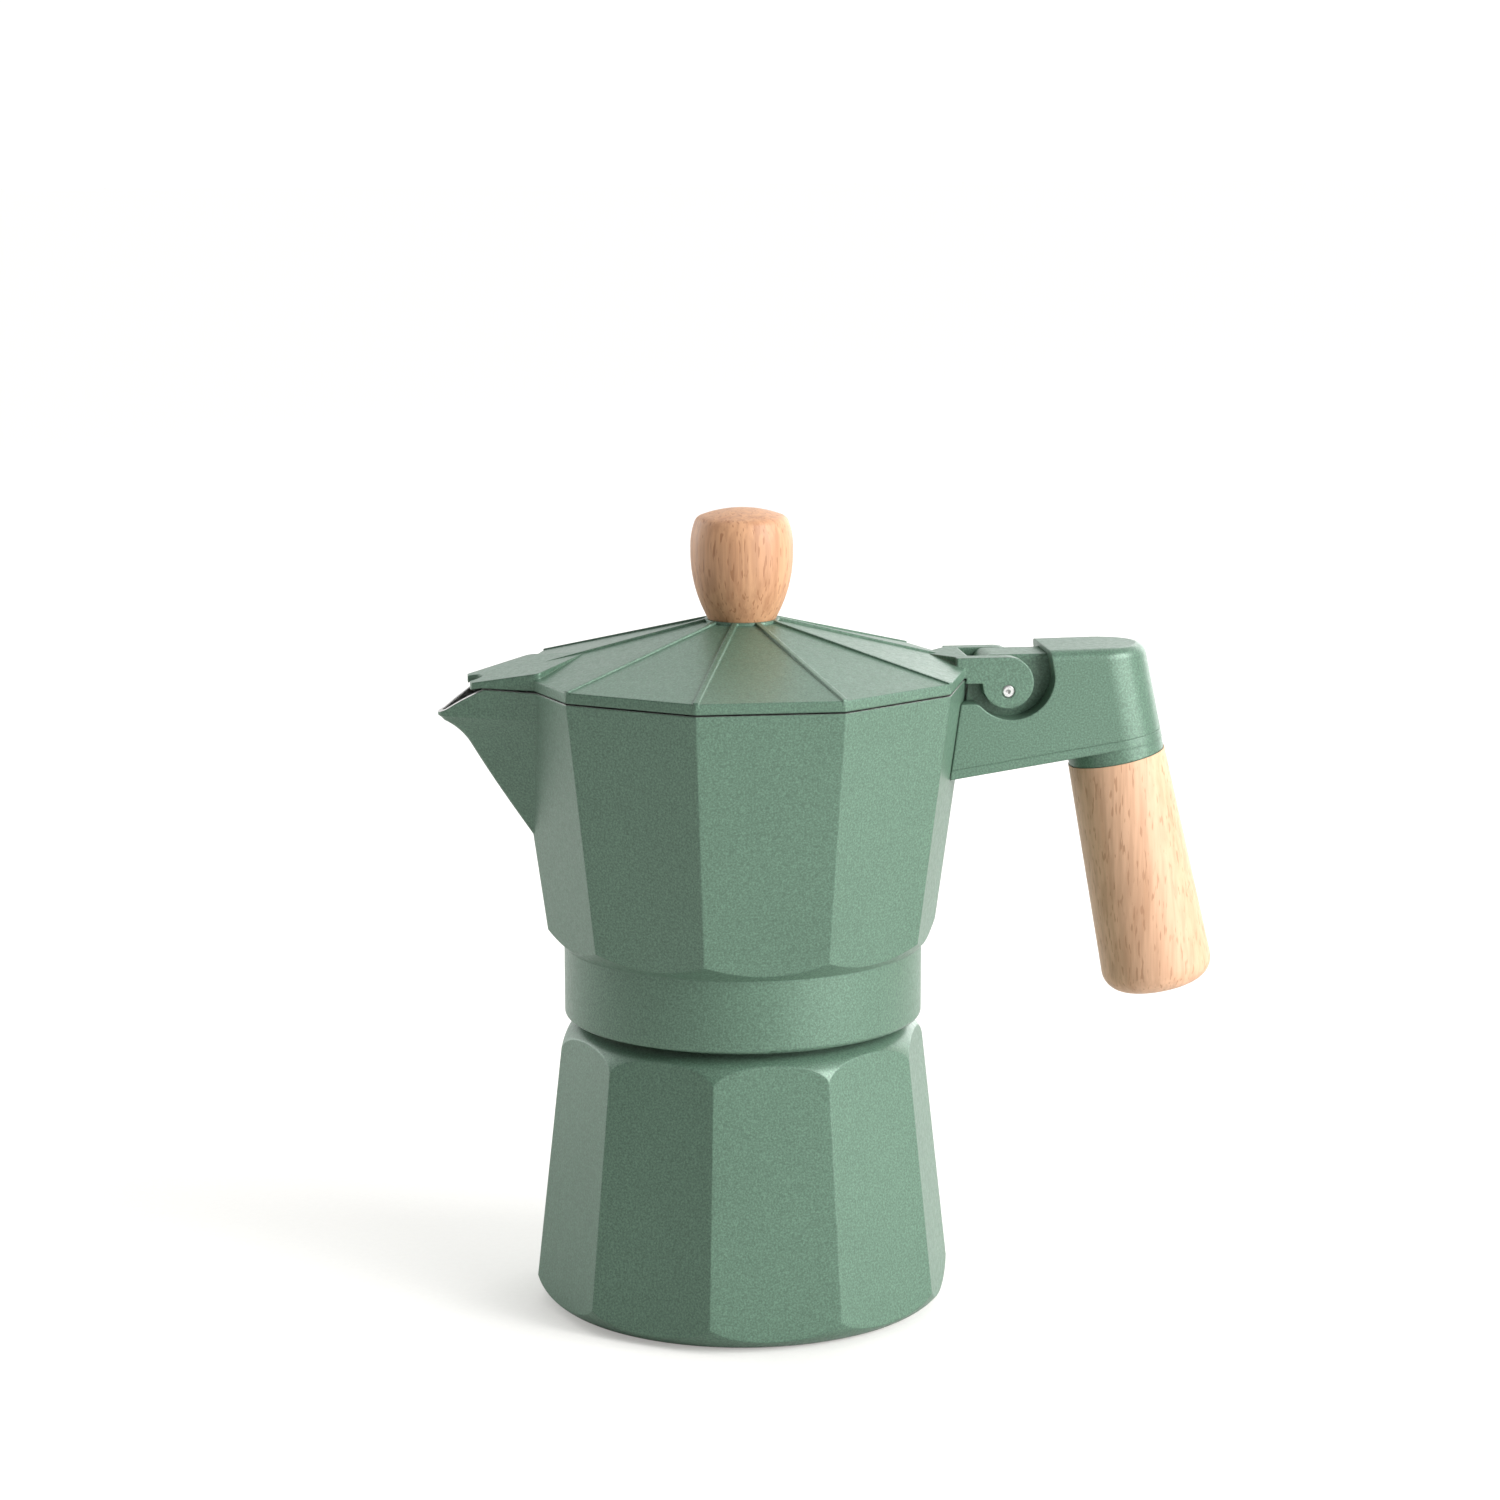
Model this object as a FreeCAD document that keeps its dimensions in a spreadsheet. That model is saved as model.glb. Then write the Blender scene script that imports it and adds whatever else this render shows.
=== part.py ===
import FreeCAD, Part
import Sketcher
import math
import os

from FreeCAD import Placement, Rotation, Vector

# A ten-sided stovetop moka pot.  Millimetres; the origin is the centre of the base, +Z is up,
# the handle points along +X and the spout along -X.

SIZES = {
    # ten-sided outline
    "facets": 10,
    "boiler_twist": 1.9,            # degrees that the screwed-on boiler stands out of line
    # boiler
    "boiler_radius": 43.8,          # over the corners, at the base plane
    "shoulder_radius": 38.0,        # over the corners, where the shoulder round starts
    "shoulder_height": 52.0,
    "shoulder_round": 7.0,
    "foot_radius": 37.7,
    "foot_height": 5.4,
    "boiler_floor": 3.0,
    "boiler_wall": 2.6,
    "neck_radius": 32.0,
    "neck_length": 7.0,
    "neck_wall": 3.2,
    "thread_pitch": 2.4,
    "thread_depth": 1.0,
    "thread_gap": 0.25,
    # funnel
    "flange_thickness": 0.8,
    "basket_radius": 27.0,
    "basket_depth": 17.0,
    "sheet_thickness": 0.6,
    "stem_radius": 4.2,
    "stem_floor_gap": 5.0,
    "screen_hole": 0.7,
    # seal and filter plate
    "gasket_thickness": 4.0,
    "gasket_width": 7.8,
    "gasket_gap": 0.3,
    "plate_radius": 25.0,
    "plate_thickness": 0.8,
    "plate_hole": 0.8,
    # collecting chamber
    "collar_radius": 36.75,
    "collar_gap": 1.2,
    "collar_height": 14.8,
    "chamber_foot_radius": 39.7,    # over the corners, at the top of the collar
    "chamber_rim_radius": 47.27,    # over the corners, at the rim
    "chamber_height": 54.6,         # from the top of the collar to the rim
    "chamber_wall": 2.4,
    "chamber_floor": 3.5,
    "column_height": 42.0,
    "column_radius": 5.6,
    "column_bore": 3.4,
    "column_port": 2.4,
    # spout
    "spout_root": 43.8,             # distance of the spout's root plane from the axis
    "spout_depth": 30.8,            # from the rim down to the lowest point of the root
    "spout_half_width": 12.6,
    "spout_reach": 65.0,            # of the keel before it is rounded
    "keel_round": 2.5,
    "spout_straight": 56.7,         # where the straight keel ends
    "spout_straight_drop": 11.9,    # below the rim
    "spout_tip_drop": 6.0,          # keel at the tip, below the rim
    "spout_wall": 1.25,
    "lip_start": 53.0,
    "lip_drop": 5.9,
    # lid
    "lid_gap": 0.35,
    "skirt_height": 2.1,
    "crown_rise": 9.4,
    "crown_radius": 8.4,
    "lid_wall": 1.8,
    "rib_width": 1.1,
    "rib_height": 0.45,
    "seat_radius": 7.6,
    "beak_root": 31.5,
    "beak_corner": 42.6,
    "beak_half_width": 12.8,
    "beak_reach": 55.6,
    "beak_tip_half_width": 6.4,
    "beak_rise": 5.9,               # of its top face over the lid's underside, at the root
    "beak_drop": 5.0,               # how far that face falls to the tip
    "notch_radius": 3.4,
    # hinge
    "pin_reach": 6.2,               # pin beyond the rim's corner
    "pin_drop": 2.55,               # pin below the rim
    "pin_radius": 1.3,
    "pin_clearance": 0.05,
    "hinge_top": 4.5,               # flat top of lug and ears above the rim
    "lug_half_width": 4.8,
    "lug_clearance": 0.6,
    "ear_thickness": 3.3,
    "ear_radius": 5.3,
    "platform_root": 37.0,
    # handle bracket
    "bracket_half_width": 10.0,
    "bracket_drop": 20.4,           # below the rim, at the chamber wall
    "bracket_slope": 8.5,           # degrees, of its lower face
    "bracket_top": 5.7,             # above the rim
    "bracket_ledge": 4.8,           # ledge in front of the hinge recess, below the rim
    "bracket_nose": 14.7,           # front of its raised part, from the rim's corner
    "bracket_round": 2.2,
    "ledge_round": 2.2,
    "recess_radius": 8.7,
    "cover_thickness": 1.9,
    "lug_length": 21.5,
    "fit_gap": 0.15,
    # grip
    "grip_tilt": 11.6,              # degrees from upright
    "grip_offset": 30.7,            # top of the grip from the rim's corner, along X
    "grip_drop": 17.8,              # top of the grip, below the rim
    "grip_length": 49.6,
    "grip_top_radius": 10.1,
    "grip_radius": 11.5,
    "grip_end_round": 4.5,
    "neck_height": 3.7,
    "stud_radius": 2.5,
    "stud_length": 34.0,
    "insert_radius": 4.0,
    "insert_length": 9.0,
    # knob
    "knob_base_radius": 6.9,
    "knob_radius": 10.43,
    "knob_height": 22.5,
    "knob_side_radius": 9.55,
    "knob_crown_radius": 8.3,
    "knob_crown_rise": 1.5,
    "knob_screw_radius": 2.0,
    "knob_screw_length": 14.0,
    # safety valve
    "valve_height": 38.0,
    "valve_facet": 90.0,            # degrees round from the handle, before the twist
    "valve_shank": 4.0,
    "valve_hex": 6.0,               # half of the width across the flats
    "valve_reach": 4.2,
    "valve_travel": 0.8,
}


class Size:
    """A length or angle that knows its value and the spreadsheet expression behind it."""

    def __init__(self, value, text):
        self.value = float(value)
        self.text = text

    @staticmethod
    def of(item):
        return item if isinstance(item, Size) else Size(item, repr(float(item)))

    def __add__(self, other):
        other = Size.of(other)
        return Size(self.value + other.value, f"({self.text} + {other.text})")

    def __sub__(self, other):
        other = Size.of(other)
        return Size(self.value - other.value, f"({self.text} - {other.text})")

    def __rsub__(self, other):
        return Size.of(other) - self

    def __mul__(self, other):
        other = Size.of(other)
        return Size(self.value * other.value, f"({self.text} * {other.text})")

    def __truediv__(self, other):
        other = Size.of(other)
        return Size(self.value / other.value, f"({self.text} / {other.text})")

    def __neg__(self):
        return Size(-self.value, f"(-{self.text})")

    def __float__(self):
        return self.value

    __radd__ = __add__
    __rmul__ = __mul__


def root_of(value):
    """Square root of a bound size."""
    return Size(math.sqrt(value.value), f"sqrt({value.text})")


def tangent_radius(rise, run):
    """Radius of an arc that leaves one end along the run and has risen sideways by the other."""
    return (rise * rise + run * run) / (rise * 2)


doc = FreeCAD.newDocument("moka_pot")
sheet = doc.addObject("Spreadsheet::Sheet", "Sizes")
for row, (alias, value) in enumerate(SIZES.items(), start=1):
    sheet.set(f"A{row}", alias)
    sheet.set(f"B{row}", str(value))
    sheet.setAlias(f"B{row}", alias)
doc.recompute()


def size(alias):
    return Size(getattr(sheet, alias), f"Sizes.{alias}")


s = {alias: size(alias) for alias in SIZES}

# ---------------------------------------------------------------- derived heights and places

HALF_FACET = 180.0 / SIZES["facets"]
FLAT = math.cos(math.radians(HALF_FACET))           # across-flats over across-corners

shoulder_top = s["shoulder_height"] + s["shoulder_round"]
boiler_rim = shoulder_top + s["neck_length"]
flange_top = boiler_rim + s["flange_thickness"]
gasket_top = flange_top + s["gasket_thickness"]
seat = gasket_top + 0.1
collar_foot = shoulder_top + s["collar_gap"]
collar_top = collar_foot + s["collar_height"]
chamber_floor = seat + s["chamber_floor"] + 2.6
rim = collar_top + s["chamber_height"]
bore_radius = s["neck_radius"] + s["thread_depth"] * 2 + s["thread_gap"]
lid_foot = rim + s["lid_gap"]
skirt_top = lid_foot + s["skirt_height"]
crown_top = skirt_top + s["crown_rise"]
knob_foot = crown_top + 0.6
pin_x = s["chamber_rim_radius"] + s["pin_reach"]
pin_z = rim - s["pin_drop"]
hinge_top = rim + s["hinge_top"]
ear_inner = s["lug_half_width"] + s["lug_clearance"]
ear_outer = ear_inner + s["ear_thickness"]
grip_x = s["chamber_rim_radius"] + s["grip_offset"]
grip_z = rim - s["grip_drop"]


def chamber_corner(height):
    """Radius over the chamber's corners at a height."""
    share = (height - collar_top) / s["chamber_height"]
    return s["chamber_foot_radius"] + (s["chamber_rim_radius"] - s["chamber_foot_radius"]) * share


def boiler_corner(height):
    """Radius over the boiler's corners at a height."""
    share = Size.of(height) / s["shoulder_height"]
    return s["boiler_radius"] - (s["boiler_radius"] - s["shoulder_radius"]) * share


# ---------------------------------------------------------------- building blocks

def new_body(label):
    body = doc.addObject("PartDesign::Body", label)
    body.Label = label
    return body


def plane(body, role):
    """One of a body's origin planes or axes."""
    return [f for f in body.Origin.OriginFeatures if f.Role == role][0]


def bind(item, path, value):
    """Bind a property to the sheet when the value comes from it."""
    value = Size.of(value)
    item.setExpression(path, value.text)


def new_sketch(body, role, lift=0.0):
    sketch = body.newObject("Sketcher::SketchObject", f"{body.Name}_sketch")
    sketch.AttachmentSupport = (plane(body, role), [""])
    sketch.MapMode = "FlatFace"
    lift = Size.of(lift)
    sketch.AttachmentOffset = Placement(Vector(0, 0, lift.value), Rotation())
    bind(sketch, "AttachmentOffset.Base.z", lift)
    return sketch


def fix_point(sketch, geometry, end, point):
    """Hold one end of a sketch edge at a bound position."""
    for kind, value in (("DistanceX", point[0]), ("DistanceY", point[1])):
        value = Size.of(value)
        name = sketch.addConstraint(Sketcher.Constraint(kind, -1, 1, geometry, end, value.value))
        bind(sketch, f"Constraints[{name}]", value)


def outline(sketch, points, arcs=None):
    """A closed outline.  arcs gives, by the index of its first point, an edge's signed radius:
    positive turns left on the way to the next point."""
    arcs = arcs or {}
    count = len(points)
    spots = [Vector(Size.of(a).value, Size.of(b).value, 0) for a, b in points]
    for index in range(count):
        start, end = spots[index], spots[(index + 1) % count]
        if index in arcs:
            radius = Size.of(arcs[index])
            chord = end - start
            half = chord.Length / 2.0
            rise = math.sqrt(max(radius.value ** 2 - half ** 2, 0.0))
            side = Vector(-chord.y, chord.x, 0).normalize()
            sign = 1.0 if radius.value > 0 else -1.0
            centre = (start + end) * 0.5 + side * rise * sign
            circle = Part.Circle(centre, Vector(0, 0, 1), abs(radius.value))
            first = math.atan2(start.y - centre.y, start.x - centre.x)
            last = math.atan2(end.y - centre.y, end.x - centre.x)
            if sign < 0:
                first, last = last, first
            edge = sketch.addGeometry(Part.ArcOfCircle(circle, first, last), False)
            name = sketch.addConstraint(Sketcher.Constraint("Radius", edge, abs(radius.value)))
            bind(sketch, f"Constraints[{name}]", radius if sign > 0 else -radius)
            ends = (1, 2) if sign > 0 else (2, 1)
        else:
            edge = sketch.addGeometry(Part.LineSegment(start, end), False)
            ends = (1, 2)
        fix_point(sketch, edge, ends[0], points[index])
        fix_point(sketch, edge, ends[1], points[(index + 1) % count])
    return sketch


def circles(sketch, spots, radius):
    """Round holes of one radius at bound places."""
    radius = Size.of(radius)
    for x, y in spots:
        centre = Vector(Size.of(x).value, Size.of(y).value, 0)
        edge = sketch.addGeometry(Part.Circle(centre, Vector(0, 0, 1), radius.value), False)
        name = sketch.addConstraint(Sketcher.Constraint("Radius", edge, radius.value))
        bind(sketch, f"Constraints[{name}]", radius)
        fix_point(sketch, edge, 3, (x, y))
    return sketch


def polygon_points(radius, shift=0.0, count=SIZES["facets"]):
    """Corners of a regular outline, the first of them at shift degrees."""
    spots = []
    for index in range(count):
        angle = math.radians(shift + 360.0 * index / count)
        spots.append((radius * math.cos(angle), radius * math.sin(angle)))
    return spots


def feature(body, kind, sketch):
    item = body.newObject(f"PartDesign::{kind}", f"{body.Name}_{kind.lower()}")
    item.Profile = sketch
    return item


def turn(body, kind, points, arcs=None):
    """Revolution or Groove of an outline in the XZ plane about Z."""
    sketch = outline(new_sketch(body, "XZ_Plane"), points, arcs)
    item = feature(body, kind, sketch)
    item.ReferenceAxis = (sketch, ["V_Axis"])
    item.Angle = 360.0
    body.Tip = item
    doc.recompute()
    return item


def prism(body, kind, role, points, length, lift=0.0, arcs=None, symmetric=False, back=False):
    """Pad or Pocket of an outline."""
    sketch = outline(new_sketch(body, role, lift), points, arcs)
    item = feature(body, kind, sketch)
    item.SideType = "Symmetric" if symmetric else "One side"
    bind(item, "Length", length)
    item.Reversed = back
    body.Tip = item
    doc.recompute()
    return item


def loft(body, kind, levels, shift=0.0, count=SIZES["facets"]):
    """Straight-sided loft of regular outlines; levels are (height, corner radius)."""
    sketches = []
    for height, radius in levels:
        sketches.append(outline(new_sketch(body, "XY_Plane", height),
                                polygon_points(radius, shift, count)))
    item = feature(body, kind, sketches[0])
    item.Sections = sketches[1:]
    item.Ruled = True
    body.Tip = item
    doc.recompute()
    return item


def combine(kind, label, shapes):
    """Part::MultiFuse, Part::MultiCommon or Part::Cut of other objects."""
    item = doc.addObject(f"Part::{kind}", label)
    item.Label = label
    if kind == "Cut":
        item.Base, item.Tool = shapes
    else:
        item.Shapes = shapes
    doc.recompute()
    return item


def place(item, x=0.0, y=0.0, z=0.0, axis=(0, 0, 1), angle=0.0):
    """Put an object at a bound position, turned about an axis by a bound angle."""
    spot = [Size.of(v) for v in (x, y, z)]
    turned = Size.of(angle)
    item.Placement = Placement(Vector(*[v.value for v in spot]),
                               Rotation(Vector(*axis), turned.value))
    for path, value in zip("xyz", spot):
        bind(item, f"Placement.Base.{path}", value)
    bind(item, "Placement.Rotation.Angle", turned)


def place_on_grip(item):
    """Stand an object on the grip's own axis: local +Z runs up along it from the grip's top."""
    place(item, grip_x, 0.0, grip_z, (0, -1, 0), s["grip_tilt"])


def round_edges(item, label, edges, radius):
    """Fillet of chosen edges of a finished object."""
    result = doc.addObject("Part::Fillet", label)
    result.Base = item
    result.Edges = [(index, float(radius), float(radius)) for index in edges]
    result.Label = label
    doc.recompute()
    return result


def edges_where(item, test):
    return [i for i, edge in enumerate(item.Shape.Edges, start=1) if test(edge)]


def hole_rings(pitch, reach):
    """Centres of a perforation: one hole and rings of six, twelve and so on around it."""
    spots = [(0.0, 0.0)]
    ring = 1
    while pitch * ring <= reach:
        for index in range(6 * ring):
            angle = math.radians(60.0 * index / ring)
            spots.append((pitch * ring * math.cos(angle), pitch * ring * math.sin(angle)))
        ring += 1
    return spots


# ---------------------------------------------------------------- boiler

def thread(body, kind, root, low, high, depth):
    """A helical ridge: outwards on the neck, inwards in the collar."""
    pitch = s["thread_pitch"]
    sunk = -0.3 if depth.value > 0 else 0.3
    points = [
        (root + sunk, low),
        (root + depth, low + pitch * 0.25),
        (root + depth, low + pitch * 0.4),
        (root + sunk, low + pitch * 0.65),
    ]
    sketch = outline(new_sketch(body, "XZ_Plane"), points)
    item = feature(body, kind, sketch)
    item.ReferenceAxis = (sketch, ["V_Axis"])
    item.Mode = "pitch-height-angle"
    bind(item, "Pitch", pitch)
    bind(item, "Height", high - low)
    body.Tip = item
    doc.recompute()
    return item


def make_boiler():
    body = new_body("boiler")
    outer = s["boiler_radius"] + 6.0
    loft(body, "AdditiveLoft", [(0.0, s["boiler_radius"]), (shoulder_top, boiler_corner(shoulder_top))])
    turn(body, "Groove", [
        (s["foot_radius"], 0.0), (outer, 0.0), (outer, s["foot_height"]),
        (boiler_corner(s["foot_height"]), s["foot_height"]),
    ], {3: -s["foot_height"] * 1.35})
    turn(body, "Groove", [
        (s["shoulder_radius"], s["shoulder_height"]), (outer, s["shoulder_height"]),
        (outer, shoulder_top), (s["shoulder_radius"] - s["shoulder_round"], shoulder_top),
    ], {3: -s["shoulder_round"]})
    neck_bore = s["neck_radius"] - s["neck_wall"]
    turn(body, "Revolution", [
        (neck_bore - 2.0, shoulder_top - 4.0), (s["neck_radius"] - 2.0, shoulder_top - 4.0),
        (s["neck_radius"], shoulder_top - 1.0), (s["neck_radius"], boiler_rim - 0.5),
        (s["neck_radius"] - 0.5, boiler_rim), (neck_bore - 2.0, boiler_rim),
    ])
    low_radius = boiler_corner(s["foot_height"]) * FLAT - s["boiler_wall"]
    high_radius = s["shoulder_radius"] * FLAT - s["boiler_wall"]
    turn(body, "Groove", [
        (0.0, s["boiler_floor"]), (low_radius - 4.0, s["boiler_floor"]),
        (low_radius, s["boiler_floor"] + 4.0), (high_radius, s["shoulder_height"]),
        (neck_bore, shoulder_top - 1.0), (neck_bore, boiler_rim + 1.0), (0.0, boiler_rim + 1.0),
    ], {1: 4.0})
    thread(body, "AdditiveHelix", s["neck_radius"], shoulder_top + 0.9, boiler_rim - 2.4,
           s["thread_depth"])
    bore = body.newObject("PartDesign::SubtractiveCylinder", "valve_bore")
    bind(bore, "Radius", s["valve_shank"])
    bore.Height = 40.0
    valve_place(bore, -20.0)
    body.Tip = bore
    doc.recompute()
    place(body, angle=s["boiler_twist"])
    return body


def valve_frame():
    """Facet's middle at the valve's height and the lean of its outward normal, before the twist."""
    radius = float(boiler_corner(s["valve_height"])) * FLAT
    lean = math.degrees(math.atan(float(s["boiler_radius"] - s["shoulder_radius"])
                                  / float(s["shoulder_height"]) * FLAT))
    return radius, lean


def valve_place(item, along, twist=0.0):
    """Put local +Z along the facet's outward normal, starting along mm outside the facet."""
    radius, lean = valve_frame()
    azimuth = float(s["valve_facet"]) + twist
    outward = Rotation(Vector(0, 0, 1), azimuth) * Rotation(Vector(0, 1, 0), 90.0 - lean)
    start = Rotation(Vector(0, 0, 1), azimuth).multVec(Vector(radius, 0, float(s["valve_height"])))
    item.Placement = Placement(start + outward.multVec(Vector(0, 0, float(along))), outward)


# ---------------------------------------------------------------- safety valve
# Each piece is drawn along its own +Z, from the facet (0) outwards, and then put on the facet.

def make_valve():
    twist = float(s["boiler_twist"])
    shank = s["valve_shank"] - 0.02
    washer_thickness = 0.8
    hex_top = washer_thickness + s["valve_reach"]
    bore = 2.6
    seat_height = 1.2
    pieces = []

    washer = new_body("valve_washer")
    turn(washer, "Revolution", [(s["valve_shank"] + 0.1, 0.0), (s["valve_hex"], 0.0),
                                (s["valve_hex"], washer_thickness),
                                (s["valve_shank"] + 0.1, washer_thickness)])
    pieces.append(washer)

    body = new_body("valve_body")
    prism(body, "Pad", "XY_Plane", polygon_points(s["valve_hex"] / math.cos(math.radians(30)), 0, 6),
          s["valve_reach"], washer_thickness)
    turn(body, "Revolution", [(0.0, -s["boiler_wall"] - 3.0), (shank - 0.5, -s["boiler_wall"] - 3.0),
                              (shank, -s["boiler_wall"] - 2.5), (shank, washer_thickness + 1.0),
                              (0.0, washer_thickness + 1.0)])
    turn(body, "Groove", [(0.0, -12.0), (1.5, -12.0), (1.5, seat_height), (bore, seat_height),
                          (bore, hex_top + 1.0), (0.0, hex_top + 1.0)])
    pieces.append(body)

    cap = new_body("valve_cap")
    turn(cap, "Revolution", [(1.2, hex_top), (4.4, hex_top), (4.4, hex_top + 0.7),
                             (3.9, hex_top + 1.2), (1.2, hex_top + 1.2)])
    pieces.append(cap)

    poppet = new_body("valve_poppet")
    turn(poppet, "Revolution", [(0.0, seat_height), (2.3, seat_height), (2.3, seat_height + 0.6),
                                (1.0, seat_height + 0.8), (1.0, hex_top + 1.5),
                                (0.7, hex_top + 1.8), (0.0, hex_top + 1.8)])
    pieces.append(poppet)

    for piece in pieces:
        valve_place(piece, 0.0, twist)

    low = seat_height + 1.1 + s["valve_travel"].value
    high = hex_top.value - 0.15
    turns = 3
    coil = Part.makeHelix((high - low) / turns, high - low, 1.65)
    ring = Part.Wire(Part.Circle(Vector(1.65, 0, 0), Vector(0, 1, 0), 0.2).toShape())
    spring = doc.addObject("Part::Feature", "valve_spring")
    spring.Label = "valve_spring"
    solid = Part.Wire(coil.Edges).makePipeShell([ring], True, True)
    spring.Shape = solid
    valve_place(spring, low, twist)
    return pieces + [spring]


# ---------------------------------------------------------------- funnel

def make_funnel():
    basket = new_body("funnel_basket")
    outer, sheet_wall = s["basket_radius"], s["sheet_thickness"]
    inner = outer - sheet_wall
    flange = s["neck_radius"] - 0.7
    floor = flange_top - s["basket_depth"]
    cone_foot = floor - 6.0
    stem = s["stem_radius"]
    turn(basket, "Revolution", [
        (inner, flange_top), (inner, floor), (inner - 1.5, floor), (stem, cone_foot),
        (stem, cone_foot - 3.0), (stem + sheet_wall, cone_foot - 3.0),
        (stem + sheet_wall, cone_foot - 0.3), (inner - 1.2, floor - sheet_wall),
        (outer, floor - sheet_wall), (outer, boiler_rim), (flange, boiler_rim), (flange, flange_top),
    ])

    tube = new_body("funnel_stem")
    foot = s["boiler_floor"] + s["stem_floor_gap"]
    turn(tube, "Revolution", [(stem - 0.6, foot), (stem - 0.02, foot),
                              (stem - 0.02, cone_foot), (stem - 0.6, cone_foot)])

    screen = new_body("funnel_screen")
    disc = inner - 0.05
    turn(screen, "Revolution", [(0.0, floor), (disc, floor), (disc, floor + 0.5), (0.0, floor + 0.5)])
    spots = hole_rings(4.2, float(disc) - 2.0)
    holes = circles(new_sketch(screen, "XY_Plane", floor + 1.0), spots, s["screen_hole"])
    cut = feature(screen, "Pocket", holes)
    cut.Length = 3.0
    screen.Tip = cut
    doc.recompute()
    return [basket, tube, screen]


# ---------------------------------------------------------------- seal and filter plate

def make_seal():
    gasket = new_body("gasket")
    outer = s["neck_radius"] - 0.4
    inner = outer - s["gasket_width"]
    step = gasket_top - s["plate_thickness"]
    groove = s["plate_radius"] + s["gasket_gap"]
    turn(gasket, "Revolution", [
        (inner, flange_top), (outer, flange_top), (outer, gasket_top), (groove, gasket_top),
        (groove, step), (inner, step),
    ])

    plate = new_body("filter_plate")
    radius, low, high = s["plate_radius"], step, gasket_top
    turn(plate, "Revolution", [(0.0, low), (radius, low), (radius, high), (0.0, high)])
    spots = hole_rings(4.0, float(radius) - 4.0)
    holes = circles(new_sketch(plate, "XY_Plane", high + 1.0), spots, s["plate_hole"])
    cut = feature(plate, "Pocket", holes)
    cut.Length = 4.0
    plate.Tip = cut
    doc.recompute()
    return [gasket, plate]


# ---------------------------------------------------------------- collecting chamber

def keel(shift):
    """The spout's keel in the plane y = 0: a straight run, a tangent arc to the tip and a
    vertical edge up past the rim.  shift moves it towards the axis."""
    top = float(rim)
    root = Vector(shift - s["spout_root"].value, 0, top - s["spout_depth"].value)
    bend = Vector(shift - s["spout_straight"].value, 0, top - s["spout_straight_drop"].value)
    tip = Vector(shift - s["spout_reach"].value, 0, top - s["spout_tip_drop"].value)
    run = (bend - root).normalize()
    start = root - run * 6.0
    chord = tip - bend
    radius = chord.Length / (2.0 * math.sin(run.getAngle(chord)))
    outward = Vector(run.z, 0, -run.x)
    if outward.dot(chord) < 0:
        outward = outward * -1
    centre = bend + outward * radius
    half = (bend + tip) * 0.5 - centre
    middle = centre + half.normalize() * radius
    return [
        Part.LineSegment(start, bend).toShape(),
        Part.Arc(bend, middle, tip).toShape(),
        Part.LineSegment(tip, Vector(tip.x, 0, top + 2.0)).toShape(),
    ]


def spout_solid(label, shift, back, softness):
    """Closed V-shaped spout: two ruled sides from the keel to a straight rail each side at x = -back.
    The sides' splay is the one that meets the chamber's facets at the spout's half-width.  The keel
    is rounded, more towards the tip, by softness times the keel_round size."""
    foot = float(rim) - s["spout_depth"].value
    root = s["spout_root"].value - shift
    slope = ((s["spout_straight"].value - s["spout_root"].value)
             / (s["spout_depth"].value - s["spout_straight_drop"].value))
    splay = s["spout_half_width"].value / (slope * s["spout_depth"].value)

    def rail_point(hand, height):
        return Vector(-back, hand * splay * (root + slope * (height - foot) - back), height)

    edges = keel(shift)
    faces = []
    rails = {1: [], -1: []}
    for edge in edges:
        low, high = edge.Vertexes[0].Point, edge.Vertexes[1].Point
        for hand in (1, -1):
            rail = Part.LineSegment(rail_point(hand, low.z), rail_point(hand, high.z)).toShape()
            rails[hand].append(rail)
            faces.append(Part.makeRuledSurface(edge, rail))
    low, high = edges[0].Vertexes[0].Point, edges[-1].Vertexes[1].Point
    for point in (low, high):
        faces.append(Part.Face(Part.makePolygon(
            [point, rail_point(1, point.z), rail_point(-1, point.z), point])))
    corners = [rail_point(1, low.z)]
    corners += [rail.Vertexes[1].Point for rail in rails[1]]
    corners += [rail.Vertexes[1].Point for rail in reversed(rails[-1])]
    corners += [rail_point(-1, low.z), corners[0]]
    faces.append(Part.Face(Part.makePolygon(corners)))
    shell = Part.Shell(faces)
    shell.sewShape()
    solid = Part.Solid(shell)
    if solid.Volume < 0:
        solid.reverse()
    blank = doc.addObject("Part::Feature", label + "_blank")
    blank.Shape = solid

    def on_keel(edge):
        box = edge.BoundBox
        return box.YLength < 0.01 and box.ZLength > 1.0 and box.XMax < -back - 1.0

    rounding = float(s["keel_round"]) * softness
    radii = [(0.3, 0.65), (0.65, 1.0), (1.0, 1.0)]
    along = sorted(edges_where(blank, on_keel), key=lambda i: blank.Shape.Edges[i - 1].BoundBox.ZMin)
    spout = doc.addObject("Part::Fillet", label)
    spout.Base = blank
    spout.Edges = [(index, low * rounding, high * rounding) for index, (low, high) in zip(along, radii)]
    doc.recompute()
    return spout


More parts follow.
